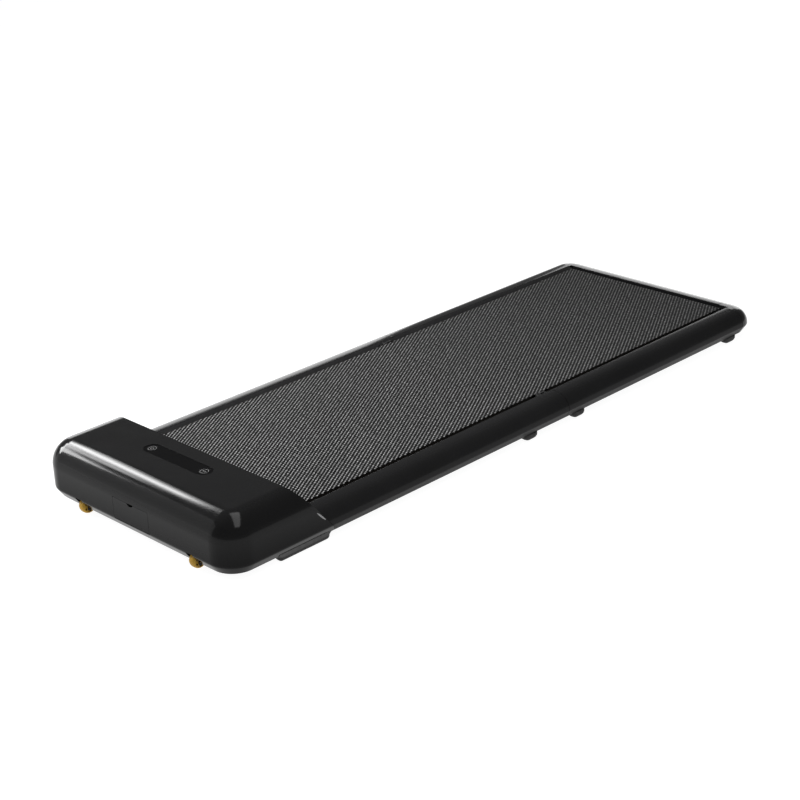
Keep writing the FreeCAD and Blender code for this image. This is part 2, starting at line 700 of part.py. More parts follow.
# ---------------------------------------------------------------- tail
def tail_plan(ins):
    w, y1, r = d.half_wid - ins, d.half_len - ins, d.tail_corner - ins
    return [
        (-w, 640), (w, 640), (w, y1 - r, w - r, y1 - r, True), (w - r, y1), (-w + r, y1, -w + r, y1 - r, True), (-w, y1 - r),
    ]


def tail_edge(m):
    return m.y > 641


outer = slab("tail_outside", tail_plan(0), zb, T, d.rail_rad, d.bevel_in, d.bevel_up, tail_edge)
inner = slab("tail_inside", tail_plan(d.tail_wall), zb, T - d.tail_wall, d.rail_rad - d.tail_wall, d.bevel_in, d.bevel_up, tail_edge)
tail = cut(outer, inner)
node("tail_cover", common(tail, box(-d.tail_hx, d.tail_hx, d.tail_y, 740, 0, 80)))
zone = join(
    box(d.tail_hx + 0.4, 280, d.tail_y, 740, 0, 80), box(d.rail_in, 280, d.cap_y, 740, 0, 80),
)
cap = cut(common(tail, zone), cyl("y", bolt_x, rz, 5, 700, 740))
node("rear_cap_right", cap)
node("rear_cap_left", flip(cap))

# ---------------------------------------------------------------- feet
def feet(y0, y1, end):
    """A foot on each side, rounded at its ends and along its lower edges."""
    r, x0, x1 = d.foot_rad, d.foot_x0, d.foot_x1
    along = prism(
        "x",
        [(y0, zb), (y0, end, y0 + end, end, True), (y0 + end, 0), (y1 - end, 0, y1 - end, end, True), (y1, end), (y1, zb)],
        x0, x1,
    )
    across = prism(
        "y", [(x0, zb), (x0, r, x0 + r, r, True), (x0 + r, 0), (x1 - r, 0, x1 - r, r, True), (x1, r), (x1, zb)], y0, y1
    )
    a = common(along, across)
    return group(a, flip(a))


node("front_feet", feet(-606, -496, 12))
node("mid_front_feet", feet(2, 36, 10))
node("mid_rear_feet", feet(140, 174, 10))
node("rear_feet", feet(632, 672, 10))

# ---------------------------------------------------------------- write the parts
doc.recompute()
for o in doc.Objects:
    bad = [s for s in o.State if s in ("Invalid", "Error")]
    if bad:
        raise RuntimeError("%s (%s): %s" % (o.Name, o.Label, bad))
os.makedirs("parts", exist_ok=True)
for label, o in NODES.items():
    s = o.Shape
    if s.isNull() or not s.isValid() or not s.Solids:
        raise RuntimeError("%s has no valid solid" % label)
    s.exportStep("parts/%s.step" % label)
    b = s.BoundBox
    print("%-24s solids %d  x %.1f %.1f  y %.1f %.1f  z %.1f %.1f  vol %.0f" % (label, len(s.Solids), b.XMin, b.XMax, b.YMin, b.YMax, b.ZMin, b.ZMax, s.Volume))
print("nodes", len(NODES))
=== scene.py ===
import json
import math

import bmesh
import bpy
from mathutils import Matrix, Vector


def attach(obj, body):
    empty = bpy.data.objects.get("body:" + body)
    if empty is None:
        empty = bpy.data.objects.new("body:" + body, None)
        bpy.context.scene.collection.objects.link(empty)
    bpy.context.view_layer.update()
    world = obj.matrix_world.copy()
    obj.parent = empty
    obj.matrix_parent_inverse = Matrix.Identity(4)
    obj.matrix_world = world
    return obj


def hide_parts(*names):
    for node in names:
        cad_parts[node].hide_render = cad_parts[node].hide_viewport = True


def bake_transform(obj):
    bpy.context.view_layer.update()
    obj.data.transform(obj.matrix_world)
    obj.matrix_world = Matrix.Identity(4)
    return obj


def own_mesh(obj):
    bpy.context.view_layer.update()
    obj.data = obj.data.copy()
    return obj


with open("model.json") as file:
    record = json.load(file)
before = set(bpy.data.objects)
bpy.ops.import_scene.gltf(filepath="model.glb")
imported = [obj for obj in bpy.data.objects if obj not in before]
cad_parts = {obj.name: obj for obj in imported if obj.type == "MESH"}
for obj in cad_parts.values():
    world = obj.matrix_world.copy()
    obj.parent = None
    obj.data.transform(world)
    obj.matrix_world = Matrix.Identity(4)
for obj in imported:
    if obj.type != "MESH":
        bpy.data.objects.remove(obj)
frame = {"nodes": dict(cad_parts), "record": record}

for left_over in ("Cube", "Light", "Camera"):
    if left_over in bpy.data.objects:
        bpy.data.objects.remove(bpy.data.objects[left_over])
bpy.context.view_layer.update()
NODES = frame["nodes"]
scene = bpy.context.scene
MM = 0.001
rad = math.radians


# ------------------------------------------------------------------ materials
def new_mat(name):
    m = bpy.data.materials.new(name)
    m.use_nodes = True
    t = m.node_tree
    t.nodes.clear()
    out = t.nodes.new("ShaderNodeOutputMaterial")
    b = t.nodes.new("ShaderNodeBsdfPrincipled")
    t.links.new(b.outputs["BSDF"], out.inputs["Surface"])
    return m, t, b


def n(t, kind, **values):
    node = t.nodes.new("ShaderNode" + kind)
    for k, v in values.items():
        if hasattr(node, k):
            setattr(node, k, v)
        else:
            node.inputs[k.replace("_", " ")].default_value = v
    return node


def math_node(t, op, a, b=None, c=None):
    node = t.nodes.new("ShaderNodeMath")
    node.operation = op
    for i, v in enumerate((a, b, c)):
        if v is None:
            continue
        if isinstance(v, (int, float)):
            node.inputs[i].default_value = v
        else:
            t.links.new(v, node.inputs[i])
    return node.outputs[0]


def coords(t, scale=(1, 1, 1), rot=(0, 0, 0), out="Object"):
    tc = t.nodes.new("ShaderNodeTexCoord")
    mp = t.nodes.new("ShaderNodeMapping")
    mp.inputs["Scale"].default_value = scale
    mp.inputs["Rotation"].default_value = rot
    t.links.new(tc.outputs[out], mp.inputs["Vector"])
    return mp.outputs["Vector"]


def noise(t, vec, scale, detail=3.0, rough=0.55):
    x = t.nodes.new("ShaderNodeTexNoise")
    x.inputs["Scale"].default_value = scale
    x.inputs["Detail"].default_value = detail
    x.inputs["Roughness"].default_value = rough
    t.links.new(vec, x.inputs["Vector"])
    return x.outputs["Fac"]


def ramp(t, fac, *stops):
    r = t.nodes.new("ShaderNodeValToRGB")
    e = r.color_ramp.elements
    while len(e) < len(stops):
        e.new(0.5)
    for k, (pos, col) in zip(e, stops):
        k.position = pos
        k.color = (*col, 1) if len(col) == 3 else col
    t.links.new(fac, r.inputs["Fac"])
    return r.outputs["Color"]


def grey(v):
    return (v, v, v)


def remap(t, fac, lo, hi, a=0.3, b=0.7):
    m = t.nodes.new("ShaderNodeMapRange")
    m.inputs["From Min"].default_value = a
    m.inputs["From Max"].default_value = b
    m.inputs["To Min"].default_value = lo
    m.inputs["To Max"].default_value = hi
    t.links.new(fac, m.inputs["Value"])
    return m.outputs["Result"]


def bump(t, b, height, strength, distance):
    x = t.nodes.new("ShaderNodeBump")
    x.inputs["Strength"].default_value = strength
    x.inputs["Distance"].default_value = distance
    t.links.new(height, x.inputs["Height"])
    t.links.new(x.outputs["Normal"], b.inputs["Normal"])


def scaled(col, k):
    return tuple(c * k for c in col)


def moulded(name, col, rough, spec=0.5, tint=0.12, grain=1400.0, relief=0.05, depth=0.00006, swing=0.04, coat=0.0, smear=5.0):
    """Moulded plastic or rubber: slow tint and roughness drift, fine moulding grain."""
    m, t, b = new_mat(name)
    v = coords(t)
    slow = noise(t, v, smear, 4.0)
    fine = noise(t, v, grain, 2.0)
    t.links.new(ramp(t, slow, (0.3, scaled(col, 1 - tint)), (0.7, scaled(col, 1 + tint))), b.inputs["Base Color"])
    t.links.new(remap(t, noise(t, v, smear * 7, 5.0, 0.65), rough - swing, rough + swing), b.inputs["Roughness"])
    b.inputs["Specular IOR Level"].default_value = spec
    if coat:
        b.inputs["Coat Weight"].default_value = coat
        b.inputs["Coat Roughness"].default_value = 0.06
    bump(t, b, fine, relief, depth)
    return m


def drawn_metal(name, col, rough, along, metallic=1.0, spec=0.5, tint=0.1, relief=0.06, depth=0.00004, swing=0.06):
    """Metal with fine lines along one axis (a 3-vector of texture scales)."""
    m, t, b = new_mat(name)
    lines = noise(t, coords(t, along), 1.0, 3.0, 0.6)
    slow = noise(t, coords(t), 7.0, 3.0)
    t.links.new(ramp(t, slow, (0.3, scaled(col, 1 - tint)), (0.7, scaled(col, 1 + tint))), b.inputs["Base Color"])
    t.links.new(remap(t, lines, rough - swing, rough + swing), b.inputs["Roughness"])
    b.inputs["Metallic"].default_value = metallic
    b.inputs["Specular IOR Level"].default_value = spec
    bump(t, b, lines, relief, depth)
    return m


def belt_mat():
    """Woven relief in a triangular lattice, laid out by the belt's own running length so it travels with the strips."""
    m, t, b = new_mat("belt_weave")
    tc = t.nodes.new("ShaderNodeTexCoord")
    sep = t.nodes.new("ShaderNodeSeparateXYZ")
    t.links.new(tc.outputs["UV"], sep.inputs[0])
    u, v = sep.outputs["X"], sep.outputs["Y"]
    waves = []
    for ku, kv in ((136.7, 80.0), (0.0, 160.0), (-136.7, 80.0)):
        ph = math_node(t, "ADD", math_node(t, "MULTIPLY", u, ku * 2 * math.pi), math_node(t, "MULTIPLY", v, kv * 2 * math.pi))
        waves.append(math_node(t, "COSINE", ph))
    both = math_node(t, "ADD", math_node(t, "MULTIPLY", waves[1], 0.30), math_node(t, "MULTIPLY", waves[2], 0.30))
    total = math_node(t, "ADD", math_node(t, "MULTIPLY", waves[0], 1.55), both)
    height = remap(t, total, 0.0, 1.0, -1.7, 2.15)
    uv = tc.outputs["UV"]
    yarn = noise(t, uv, 2600.0, 2.0, 0.6)
    patch = noise(t, uv, 9.0, 3.0, 0.6)
    worn = math_node(t, "ADD", height, math_node(t, "MULTIPLY", math_node(t, "SUBTRACT", yarn, 0.5), 0.22))
    worn = math_node(t, "ADD", worn, math_node(t, "MULTIPLY", math_node(t, "SUBTRACT", patch, 0.5), 0.08))
    threads = ramp(t, worn, (0.40, grey(0.0020)), (0.56, grey(0.011)), (0.73, (0.146, 0.146, 0.149)), (0.91, (0.262, 0.262, 0.268)))
    # painted shade: the threads lose contrast towards the rear, standing in for the light falling off along the belt
    painted_rear_fade = remap(t, v, 0.97, 0.64, -0.57, 0.66)
    tone = math_node(t, "MULTIPLY_ADD", math_node(t, "SUBTRACT", threads, 0.0625), painted_rear_fade, 0.0625)
    # single threads differ in brightness
    fleck = noise(t, uv, 170.0, 1.0, 0.5)
    tone = math_node(t, "MULTIPLY", tone, math_node(t, "MULTIPLY_ADD", fleck, 2.8, -0.4))
    # painted shade: the colour is also turned down towards the rear
    t.links.new(math_node(t, "MULTIPLY", tone, remap(t, v, 1.05, 0.69, -0.57, 0.66)), b.inputs["Base Color"])
    t.links.new(remap(t, worn, 0.74, 0.90, 0.0, 1.0), b.inputs["Roughness"])
    b.inputs["Specular IOR Level"].default_value = 0.03
    bump(t, b, height, 0.5, 0.0003)
    return m


def board_mat():
    m, t, b = new_mat("deck_waxed_board")
    v = coords(t, (90, 3.5, 90))
    grain = noise(t, v, 1.0, 6.0, 0.65)
    fleck = noise(t, coords(t), 900.0, 3.0, 0.7)
    mix = math_node(t, "ADD", math_node(t, "MULTIPLY", grain, 0.6), math_node(t, "MULTIPLY", fleck, 0.4))
    t.links.new(ramp(t, mix, (0.3, (0.005, 0.004, 0.003)), (0.55, (0.011, 0.0085, 0.0062)), (0.75, (0.019, 0.015, 0.011))), b.inputs["Base Color"])
    t.links.new(remap(t, grain, 0.35, 0.6), b.inputs["Roughness"])
    bump(t, b, mix, 0.2, 0.0002)
    return m


def circuit_mat():
    m, t, b = new_mat("lacquered_board")
    cells = t.nodes.new("ShaderNodeTexVoronoi")
    cells.distance = "CHEBYCHEV"
    cells.feature = "F2"
    cells.inputs["Scale"].default_value = 160.0
    t.links.new(coords(t), cells.inputs["Vector"])
    t.links.new(
        ramp(t, cells.outputs["Distance"], (0.30, (0.012, 0.075, 0.032)), (0.55, (0.02, 0.12, 0.05)), (0.62, (0.05, 0.19, 0.09))),
        b.inputs["Base Color"],
    )
    t.links.new(remap(t, noise(t, coords(t), 60.0), 0.25, 0.45), b.inputs["Roughness"])
    bump(t, b, cells.outputs["Distance"], 0.15, 0.0001)
    return m


def icon_mat():
    m, t, b = new_mat("key_light_print")
    v = coords(t)
    t.links.new(ramp(t, noise(t, v, 500.0, 3.0), (0.3, grey(0.15)), (0.7, grey(0.23))), b.inputs["Base Color"])
    t.links.new(remap(t, noise(t, v, 1500.0), 0.4, 0.6), b.inputs["Roughness"])
    return m


M = {
    "hood_plastic": moulded("hood_satin_black", (0.0080, 0.0080, 0.0082), 0.115, 0.125, 0.10, 1600.0, 0.02, 0.00003, 0.02, smear=3.0),
    "tail_plastic": moulded("tail_gloss_black", (0.008, 0.008, 0.0083), 0.14, 0.25, 0.10, 1600.0, 0.02, 0.00003, 0.03, smear=4.0),
    "rail_anodised": drawn_metal("rail_black_anodised", (0.0108, 0.0108, 0.0111), 0.14, (900, 2.5, 900), 0.0, 0.16, 0.12, 0.03, 0.00002, 0.03),
    "belt_surface": belt_mat(),
    "display_black": moulded("display_smoked", (0.0028, 0.0028, 0.0030), 0.09, 0.06, 0.15, 2200.0, 0.01, 0.00002, 0.02),
    "key_plastic": moulded("key_matt", (0.0032, 0.0032, 0.0034), 0.13, 0.06, 0.15, 3200.0, 0.02, 0.00002, 0.03),
    "wheel_ochre": moulded("wheel_ochre_nylon", (0.38, 0.225, 0.028), 0.45, 0.15, 0.14, 900.0, 0.10, 0.00008, 0.08, smear=60.0),
    "foot_rubber": moulded("foot_matt_rubber", (0.017, 0.017, 0.017), 0.66, 0.3, 0.22, 1300.0, 0.28, 0.00015, 0.10, smear=30.0),
    "frame_paint": moulded("frame_powder_coat", (0.012, 0.012, 0.0125), 0.58, 0.15, 0.18, 1900.0, 0.30, 0.00012, 0.07, smear=14.0),
    "steel": drawn_metal("steel_turned", (0.53, 0.53, 0.54), 0.32, (1100, 60, 60), 1.0, 0.5, 0.12, 0.08, 0.00004, 0.08),
    "motor_paint": moulded("motor_satin_paint", (0.055, 0.055, 0.06), 0.38, 0.5, 0.18, 700.0, 0.12, 0.0001, 0.08, smear=25.0),
    "alloy": drawn_metal("alloy_plain", (0.60, 0.60, 0.62), 0.38, (50, 900, 50), 1.0, 0.5, 0.10, 0.08, 0.00005, 0.08),
    "board_green": circuit_mat(),
    "deck_board": board_mat(),
    "dark_plastic": moulded("dark_matt_plastic", (0.018, 0.018, 0.0185), 0.50, 0.4, 0.18, 1100.0, 0.22, 0.00012, 0.08, smear=12.0),
    "rocker_plastic": moulded("rocker_gloss", (0.016, 0.016, 0.016), 0.20, 0.5, 0.15, 1500.0, 0.04, 0.00004, 0.04),
}
M["icon"] = icon_mat()


def painted_shade_below(m, lo, hi, z0, z1):
    """Painted shade: the sheen is turned down by height towards the lower edge, darkening the lower part."""
    t = m.node_tree
    b = next(n for n in t.nodes if n.type == "BSDF_PRINCIPLED")
    axes = t.nodes.new("ShaderNodeSeparateXYZ")
    t.links.new(coords(t), axes.inputs[0])
    t.links.new(remap(t, axes.outputs["Z"], lo, hi, z0, z1), b.inputs["Specular IOR Level"])


# painted shade: less sheen low on the hood's walls and on the rails
painted_shade_below(M["hood_plastic"], 0.065, 0.125, 0.036, 0.078)
painted_shade_below(M["rail_anodised"], 0.085, 0.16, 0.037, 0.052)
M["belt_edge"] = moulded("belt_cut_edge", (0.006, 0.006, 0.006), 0.75, 0.10, 0.20, 1800.0, 0.20, 0.0001, 0.06, smear=40.0)
M["roller_steel"] = drawn_metal("roller_black_oxide", (0.030, 0.030, 0.031), 0.42, (1100, 60, 60), 0.6, 0.4, 0.15, 0.08, 0.00004, 0.08)
# painted glint: light grey for the strip on the hood's sides
M["edge_bead"] = moulded("edge_bead_bright", (0.215, 0.215, 0.22), 0.32, 0.5, 0.12, 1500.0, 0.05, 0.00004, 0.05, smear=20.0)
# painted light and shade: a lighter copy of the foot rubber for the front feet's upper band, and a darker, duller one
# for their soles
M["foot_upper"] = moulded("foot_upper_rubber", (0.050, 0.050, 0.050), 0.60, 0.3, 0.22, 1300.0, 0.28, 0.00015, 0.10, smear=30.0)
M["foot_sole"] = moulded("foot_sole_rubber", (0.005, 0.005, 0.005), 0.72, 0.03, 0.22, 1300.0, 0.28, 0.00015, 0.10, smear=30.0)
# painted light: a much lighter grey copy for the rail's inner lip face, which lies in shade
M["rail_lip"] = moulded("rail_lip_matt", (0.09, 0.09, 0.092), 0.50, 0.30, 0.14, 1200.0, 0.10, 0.00006, 0.06, smear=18.0)
M["rail_under"] = drawn_metal("rail_underside", (0.0100, 0.0100, 0.0102), 0.34, (900, 2.5, 900), 0.0, 0.03, 0.14, 0.04, 0.00003, 0.06)
slot_of = {s["node"]: s["material_slot"] for s in frame["record"]["subparts"]}


# ------------------------------------------------------------------ mesh tools
def shown(name, bm, face_up=None):
    """A new object from bm (millimetres). face_up(face centre, face normal) is true for a face that looks the right way out."""
    bmesh.ops.remove_doubles(bm, verts=bm.verts, dist=1e-4)
    bmesh.ops.recalc_face_normals(bm, faces=bm.faces)
    if face_up:
        votes = [face_up(f.calc_center_median(), f.normal) for f in bm.faces]
        votes = [x for x in votes if x is not None]
        if sum(votes) * 2 < len(votes):
            bmesh.ops.reverse_faces(bm, faces=bm.faces)
    for v in bm.verts:
        v.co *= MM
    for f in bm.faces:
        f.smooth = True
    me = bpy.data.meshes.new(name)
    bm.to_mesh(me)
    bm.free()
    ob = bpy.data.objects.new(name, me)
    scene.collection.objects.link(ob)
    return ob


def wall(ob, t):
    m = ob.modifiers.new("wall", "SOLIDIFY")
    m.thickness = t * MM
    m.offset = -1
    m.use_even_offset = True
    m.use_quality_normals = True


def edges(ob, w, seg=2, angle=30):
    m = ob.modifiers.new("edges", "BEVEL")
    m.width = w * MM
    m.segments = seg
    m.limit_method = "ANGLE"
    m.angle_limit = rad(angle)
    m.use_clamp_overlap = True
    k = ob.modifiers.new("normals", "WEIGHTED_NORMAL")
    k.weight = 100
    k.keep_sharp = True


def bake(ob):
    """The modifiers' result becomes the object's own mesh."""
    dg = bpy.context.evaluated_depsgraph_get()
    me = bpy.data.meshes.new_from_object(ob.evaluated_get(dg))
    ob.modifiers.clear()
    ob.data = me


def carve(ob, cutter):
    m = ob.modifiers.new("cut", "BOOLEAN")
    m.operation = "DIFFERENCE"
    m.solver = "EXACT"
    m.object = cutter
    bake(ob)
    bpy.data.objects.remove(cutter)


def piece(ob, body, slot, *stands_for, mats=None):
    for m in mats or [M[slot]]:
        ob.data.materials.append(m)
    if stands_for:
        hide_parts(*stands_for)
    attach(ob, body)
    return ob


def loop_edges(bm, verts, closed=True):
    out = []
    k = len(verts)
    for i in range(k if closed else k - 1):
        a, b = verts[i], verts[(i + 1) % k]
        out.append(bm.edges.get((a, b)) or bm.edges.new((a, b)))
    return out


def skin(bm, rows, skip=None):
    """Quads between neighbouring rows of vertices."""
    for i in range(len(rows) - 1):
        for j in range(len(rows[i]) - 1):
            if skip and skip(i, j):
                continue
            bm.faces.new((rows[i][j], rows[i][j + 1], rows[i + 1][j + 1], rows[i + 1][j]))


def prism_bm(outline, axis, a, b):
    """Closed prism of a 2-D outline along an axis ('x': (y, z); 'y': (x, z); 'z': (x, y))."""
    put = {"x": lambda p, h: (h, p[0], p[1]), "y": lambda p, h: (p[0], h, p[1]), "z": lambda p, h: (p[0], p[1], h)}[axis]
    bm = bmesh.new()
    lo = [bm.verts.new(put(p, a)) for p in outline]
    hi = [bm.verts.new(put(p, b)) for p in outline]
    k = len(outline)
    for i in range(k):
        bm.faces.new((lo[i], lo[(i + 1) % k], hi[(i + 1) % k], hi[i]))
    bmesh.ops.triangle_fill(bm, use_beauty=True, edges=loop_edges(bm, lo))
    bmesh.ops.triangle_fill(bm, use_beauty=True, edges=loop_edges(bm, hi))
    return bm


def rounded(points, radius, seg=5):
    """Outline with its corners rounded; radius is one number or one per corner."""
    out = []
    k = len(points)
    for i, p in enumerate(points):
        r = radius[i] if isinstance(radius, (list, tuple)) else radius
        c = Vector(p)
        a, b = (Vector(points[i - 1]) - c), (Vector(points[(i + 1) % k]) - c)
        half = a.angle(b) / 2
        if r <= 0 or half > rad(89):
            out.append(tuple(c))
            continue
        d = min(r / math.tan(half), a.length * 0.49, b.length * 0.49)
        r2 = d * math.tan(half)
        p0, p1 = c + a.normalized() * d, c + b.normalized() * d
        o = c + (a.normalized() + b.normalized()).normalized() * (r2 / math.sin(half))
        a0 = math.atan2(p0.y - o.y, p0.x - o.x)
        a1 = math.atan2(p1.y - o.y, p1.x - o.x)
        sweep = (a1 - a0 + math.pi) % (2 * math.pi) - math.pi
        for s in range(seg + 1):
            t = a0 + sweep * s / seg
            out.append((o.x + r2 * math.cos(t), o.y + r2 * math.sin(t)))
    return out


def lathe_bm(profile, axis, centre, seg=48):
    """Closed ring of revolution: profile is a closed list of (radius, height along the axis); radius 0 is left out."""
    bm = bmesh.new()
    rings = []
    for i in range(seg):
        a = 2 * math.pi * i / seg
        c, s = math.cos(a), math.sin(a)
        ring = []
        for r, h in profile:
            p = {"x": (h, r * c, r * s), "y": (r * c, h, r * s), "z": (r * c, r * s, h)}[axis]
            ring.append(bm.verts.new(Vector(p) + Vector(centre)))
        rings.append(ring)
    k = len(profile)
    for i in range(seg):
        a, b = rings[i], rings[(i + 1) % seg]
        for j in range(k):
            bm.faces.new((a[j], a[(j + 1) % k], b[(j + 1) % k], b[j]))
    return bm


def stadium(hx, y0, y1, seg=14):
    r, cy = (y1 - y0) / 2, (y0 + y1) / 2
    out = []
    for sx, start in ((1, -90), (-1, 90)):
        for i in range(seg + 1):
            a = rad(start + 180 * i / seg)
            out.append((sx * (hx - r) + r * math.cos(a), cy + r * math.sin(a)))
    return out


def circle(x, y, r, seg=28):
    return [(x + r * math.cos(2 * math.pi * i / seg), y + r * math.sin(2 * math.pi * i / seg)) for i in range(seg)]


def offset_stadium(hx, y0, y1, o):
    return stadium(hx + o, y0 - o, y1 + o)


# ------------------------------------------------------------------ motor hood
TOP, WALL_LOW = 116.0, 63.5


def rake(z):
    return -568 + 0.79 * (TOP - z)


LOW = [(11, 14), (6.2, 20.98), (1.70, 27.53), (0.95, 28.95), (0.66, 29.55), (0.42, 30.13), (0.10, 31.5), (0, 33), (0, 36), (0, 52), (0, 70)]
LEVELS = LOW + [(46 - 46 * math.cos(rad(a)), 70 + 46 * math.sin(rad(a))) for a in (1.868, 5, 10, 16, 22, 28, 34, 40, 46, 52, 58, 64, 70, 76, 82, 86, 90)] + [(49, 116)]
FRONT_X = [206, 185, 162.2, 143.8, 118, 94, 70, 48.5, 24, 0]
FRONT_X = FRONT_X + [-x for x in FRONT_X[-2::-1]]
SIDE_T = (0, 0.02, 0.2, 0.45, 0.7, 0.9, 1)
ARC = 20


def hood_path(d, z):
    w, r, yb = 259 - d, 53 - d, rake(z)
    right = [(w, yb + (-672 - yb) * t) for t in SIDE_T]
    right += [(206 + r * math.cos(rad(90 * i / ARC)), -672 - r * math.sin(rad(90 * i / ARC))) for i in range(1, ARC)]
    return right + [(x, -725 + d) for x in FRONT_X] + [(-x, y) for x, y in reversed(right)]


def build_hood():
    bm = bmesh.new()
    rows = [[bm.verts.new((x, y, z)) for x, y in hood_path(d, z)] for d, z in LEVELS]
    first = len(SIDE_T) + ARC - 1
    front = {first + i: x for i, x in enumerate(FRONT_X)}

    def skip(i, j):
        if j not in front or j + 1 not in front:
            return False
        mid, z = abs(front[j] + front[j + 1]) / 2, (LEVELS[i][1] + LEVELS[i + 1][1]) / 2
        return (mid < 48.5 and 29.6 < z < 71.5) or (143.9 < mid < 162.1 and z < 31.5)

    skin(bm, rows, skip)
    # flat top with the slot for the display strip
    back = [bm.verts.new((x, rake(TOP), TOP)) for x in (-160, -110, -60, 0, 60, 110, 160)]
    rim = rows[-1] + back
    hole = [bm.verts.new((x, y, TOP)) for x, y in stadium(86.5, -632.5, -599.5)]
    ring = [bm.verts.new((x, y, TOP)) for x, y in offset_stadium(86.5, -632.5, -599.5, 3)]
    k = len(hole)
    for i in range(k):
        bm.faces.new((hole[i], hole[(i + 1) % k], ring[(i + 1) % k], ring[i]))
    bmesh.ops.triangle_fill(bm, use_beauty=True, edges=loop_edges(bm, rim) + loop_edges(bm, ring))
    # raked rear wall, from the top down to the belt and to the rails' rounding
    up = [i for i, (d, z) in enumerate(LEVELS) if z >= 36]
    right = [rows[i][0] for i in up]
    left = [rows[i][-1] for i in up]
    low = [(math.cos(rad(a)) * 30 + 228, math.sin(rad(a)) * 30 + 31) for a in (10, 22, 34, 46, 58, 70, 80, 90)] + [(213, 61), (211, 63.5)]
    low = [(257.6, 36)] + low[1:] if low[0][1] < 36.5 else [(257.6, 36)] + low
    low_right = [bm.verts.new((x, rake(z), z)) for x, z in low]
    mid = [bm.verts.new((x, rake(63.5), 63.5)) for x in (140, 70, 0, -70, -140)]
    low_left = [bm.verts.new((-x, rake(z), z)) for x, z in low]
    loop = right + list(reversed(back)) + list(reversed(left)) + low_left + list(reversed(mid)) + list(reversed(low_right))
    bmesh.ops.triangle_fill(bm, use_beauty=True, edges=loop_edges(bm, loop))
    ob = shown("hood_shell", bm, lambda c, q: (q.z > 0) if c.z > 115.9 and abs(q.z) > 0.9 else None)
    wall(ob, 3)
    bake(ob)
    # level sill for the flap to turn over
    carve(ob, shown("cutter", prism_bm([(-48.5, 29.95), (48.5, 29.95), (48.5, 40), (-48.5, 40)], "y", -731, -718)))
    for q in ob.data.polygons:
        q.use_smooth = True
    edges(ob, 0.5, 2, 28)
    return piece(ob, "base", "hood_plastic", "hood_cover")


build_hood()


# painted glint: a short light-grey strip on each side just in front of the raked edge stands in for light caught on the
# seam
def build_painted_glints(name, sx):
    a, b, half, n = (-534.4, 66.8), (-516.0, 47.2), 1.45, 14
    along = (b[0] - a[0], b[1] - a[1])
    size = math.hypot(*along)
    across = (-along[1] / size, along[0] / size)
    top, low = [], []
    for i in range(n + 1):
        u = i / n
        w = half * (0.12 + 0.88 * math.sin(math.pi * u) ** 0.5)
        y, z = a[0] + along[0] * u, a[1] + along[1] * u
        top.append((y + across[0] * w, z + across[1] * w))
        low.append((y - across[0] * w, z - across[1] * w))
    ob = shown(name, prism_bm(top + low[::-1], "x", sx * 258.3, sx * 259.06))
    edges(ob, 0.12, 2, 40)
    return piece(ob, "base", "hood_plastic", mats=[M["edge_bead"]])


build_painted_glints("hood_bead_right", 1)
build_painted_glints("hood_bead_left", -1)


# display strip with round openings for the keys
def build_display():
    bm = bmesh.new()
    outer = [bm.verts.new((x, y, 115.4)) for x, y in stadium(86.2, -632.2, -599.8)]
    inner = [bm.verts.new((x, y, 115.4)) for x, y in offset_stadium(86.2, -632.2, -599.8, -2)]
    k = len(outer)
    for i in range(k):
        bm.faces.new((outer[i], outer[(i + 1) % k], inner[(i + 1) % k], inner[i]))
    rings = []
    for sx in (1, -1):
        hole = [bm.verts.new((x, y, 115.4)) for x, y in circle(sx * 71, -616, 9.3)]
        ring = [bm.verts.new((x, y, 115.4)) for x, y in circle(sx * 71, -616, 10.6)]
        for i in range(len(hole)):
            j = (i + 1) % len(hole)
            bm.faces.new((hole[i], hole[j], ring[j], ring[i]))
        rings += loop_edges(bm, ring)
    bmesh.ops.triangle_fill(bm, use_beauty=True, edges=loop_edges(bm, inner) + rings)
    ob = shown("display_strip", bm, lambda c, q: q.z > 0)
    wall(ob, 2.4)
    edges(ob, 0.3, 2, 30)
    return piece(ob, "base", "display_black", "display_window")


build_display()


# keys: dished cap, light ring and a plain sign
def plate(bm, outline, z0, z1, index):
    lo = [bm.verts.new((x, y, z0)) for x, y in outline]
    hi = [bm.verts.new((x, y, z1)) for x, y in outline]
    k = len(outline)
    for i in range(k):
        bm.faces.new((lo[i], lo[(i + 1) % k], hi[(i + 1) % k], hi[i])).material_index = index
    bm.faces.new(hi).material_index = index
    bm.faces.new(list(reversed(lo))).material_index = index


def arc_band(cx, cy, r0, r1, a0, a1, seg=28):
    out = [(cx + r1 * math.cos(rad(a0 + (a1 - a0) * i / seg)), cy + r1 * math.sin(rad(a0 + (a1 - a0) * i / seg))) for i in range(seg + 1)]
    return out + [(cx + r0 * math.cos(rad(a1 + (a0 - a1) * i / seg)), cy + r0 * math.sin(rad(a1 + (a0 - a1) * i / seg))) for i in range(seg + 1)]


def strip_ring(bm, cx, cy, r0, r1, z0, z1, index, seg=40):
    rows = []
    for i in range(seg):
        c, s = math.cos(2 * math.pi * i / seg), math.sin(2 * math.pi * i / seg)
        rows.append([bm.verts.new((cx + r * c, cy + r * s, z)) for r, z in ((r0, z0), (r0, z1), (r1, z1), (r1, z0))])
    for i in range(seg):
        a, b = rows[i], rows[(i + 1) % seg]
        for j in range(4):
            bm.faces.new((a[j], a[(j + 1) % 4], b[(j + 1) % 4], b[j])).material_index = index


